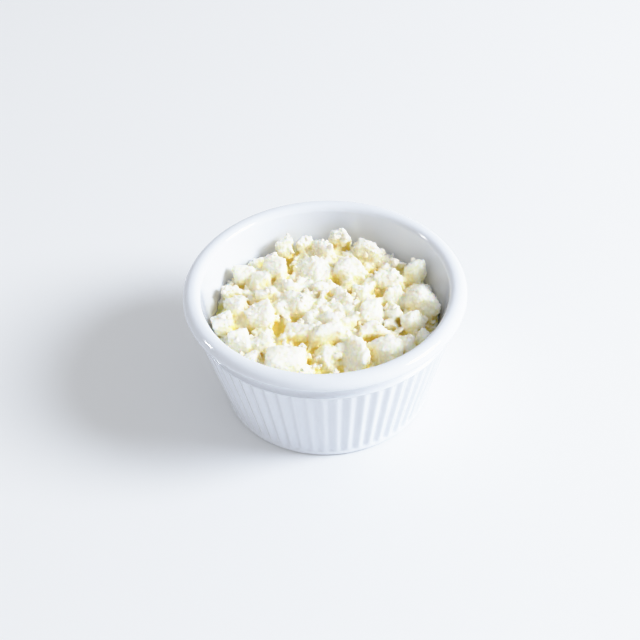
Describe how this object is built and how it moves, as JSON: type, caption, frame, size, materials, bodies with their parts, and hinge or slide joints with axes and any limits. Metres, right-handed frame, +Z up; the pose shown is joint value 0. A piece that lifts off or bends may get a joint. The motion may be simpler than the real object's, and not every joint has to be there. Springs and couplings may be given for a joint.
{
  "type": "bowl of feta",
  "caption": "Small round reeded white ramekin with a rolled lip, heaped with crumbled feta cheese.",
  "frame": {"origin": "middle of the dish's foot ring, on the surface it stands on", "axes": "+Z up along the dish's axis; +Y away from the viewer of the picture, +X to the viewer's right"},
  "size_m": [0.082, 0.082, 0.0396],
  "materials": {
    "ramekin": "glossy white moulded melamine",
    "feta": "moist, crumbly white cheese, golden in its crevices"
  },
  "bodies": {
    "root": {"ramekin": "ramekin", "feta": "feta"}
  },
  "joints": []
}
